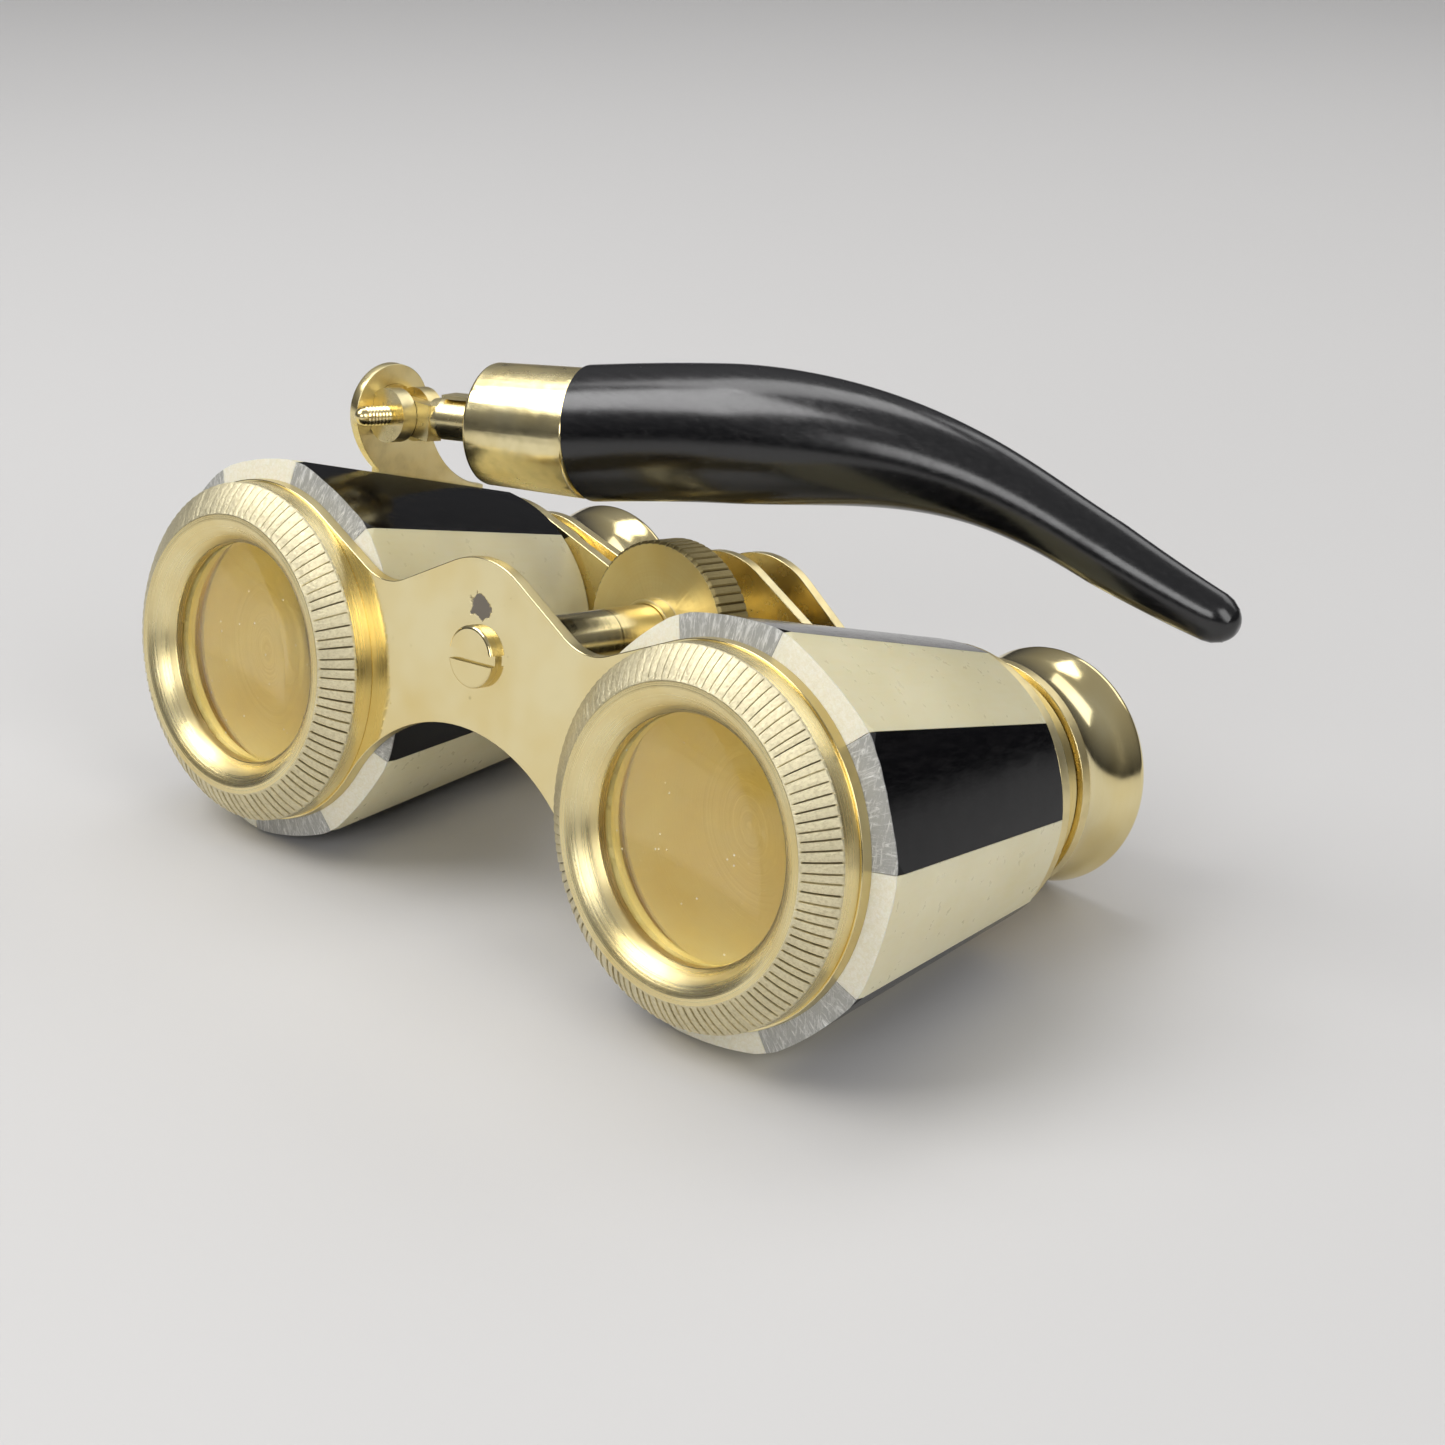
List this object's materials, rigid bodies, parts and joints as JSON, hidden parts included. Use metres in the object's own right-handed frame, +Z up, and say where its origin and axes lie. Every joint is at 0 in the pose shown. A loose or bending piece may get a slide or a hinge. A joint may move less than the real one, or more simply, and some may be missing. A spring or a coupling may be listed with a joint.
{
  "type": "opera glasses",
  "caption": "Small folding-handle binoculars: two faceted barrels on brass bridge plates, a centre focus wheel that slides the eyecups, and a curved horn handle hinged on one barrel.",
  "frame": {"origin": "centre of the bounding box's footprint, on the surface that the glasses lie on", "axes": "+X from the left barrel to the right one as the objectives are seen from the front, +Y from the objectives towards the eyecups, +Z up; the optical axes dip towards the eyecups because the glasses lie on their wide front rings and narrower eyecups"},
  "size_m": [0.1028, 0.0554, 0.0493],
  "materials": {
    "polished_brass": "polished, with fine wear",
    "inner_brass": "turned, unpolished",
    "black_horn": "polished horn",
    "cream_bone": "polished bone",
    "lens_glass": "clear"
  },
  "bodies": {
    "body": {"objective_bezel_left": "polished_brass", "objective_lens_left": "lens_glass", "objective_lens_ring_left": "inner_brass", "barrel_tube_left": "inner_brass", "rear_collar_left": "polished_brass", "horn_strip_left_1": "black_horn", "bone_strip_left_2": "cream_bone", "horn_strip_left_3": "black_horn", "bone_strip_left_4": "cream_bone", "horn_strip_left_5": "black_horn", "bone_strip_left_6": "cream_bone", "horn_strip_left_7": "black_horn", "bone_strip_left_8": "cream_bone", "horn_strip_left_9": "black_horn", "bone_strip_left_10": "cream_bone", "objective_bezel_right": "polished_brass", "objective_lens_right": "lens_glass", "objective_lens_ring_right": "inner_brass", "barrel_tube_right": "inner_brass", "rear_collar_right": "polished_brass", "bone_strip_right_1": "cream_bone", "horn_strip_right_2": "black_horn", "bone_strip_right_3": "cream_bone", "horn_strip_right_4": "black_horn", "bone_strip_right_5": "cream_bone", "horn_strip_right_6": "black_horn", "bone_strip_right_7": "cream_bone", "horn_strip_right_8": "black_horn", "bone_strip_right_9": "cream_bone", "horn_strip_right_10": "black_horn", "front_bridge": "polished_brass", "rear_bridge": "polished_brass", "bridge_screw": "polished_brass", "focus_post": "polished_brass", "hinge_lug": "polished_brass", "hinge_trunnion": "polished_brass", "pivot_screw": "polished_brass"},
    "focus_wheel": {"focus_wheel": "polished_brass", "focus_sleeve": "polished_brass", "sleeve_ring": "polished_brass"},
    "eyepieces": {"draw_tube_left": "inner_brass", "eye_lens_left": "lens_glass", "eye_lens_ring_left": "inner_brass", "eyecup_left": "polished_brass", "draw_tube_right": "inner_brass", "eye_lens_right": "lens_glass", "eye_lens_ring_right": "inner_brass", "eyecup_right": "polished_brass", "eyepiece_bridge": "polished_brass", "focus_spindle": "inner_brass", "spindle_nut": "polished_brass"},
    "handle": {"handle_rod": "polished_brass", "handle_ferrule": "polished_brass", "horn_grip": "black_horn", "handle_leaf": "polished_brass"}
  },
  "joints": [
    {"name": "focus_turn", "type": "hinge", "parent": "body", "child": "focus_wheel", "pos_m": [-0.00293, 0.00453, 0.0222], "axis": [0, 0.9864, -0.1643], "range_deg": [0, 360]},
    {"name": "eyepiece_slide", "type": "slide", "parent": "body", "child": "eyepieces", "axis": [0, 0.9864, -0.1643], "range_m": [0, 0.008]},
    {"name": "handle_fold", "type": "hinge", "parent": "body", "child": "handle", "pos_m": [-0.03133, -0.00365, 0.03938], "axis": [0, -0.9864, 0.1643], "range_deg": [0, 80]}
  ],
  "couplings": [
    {"joint": "focus_turn", "follows": "eyepiece_slide", "rad_per_m": 785.39}
  ]
}
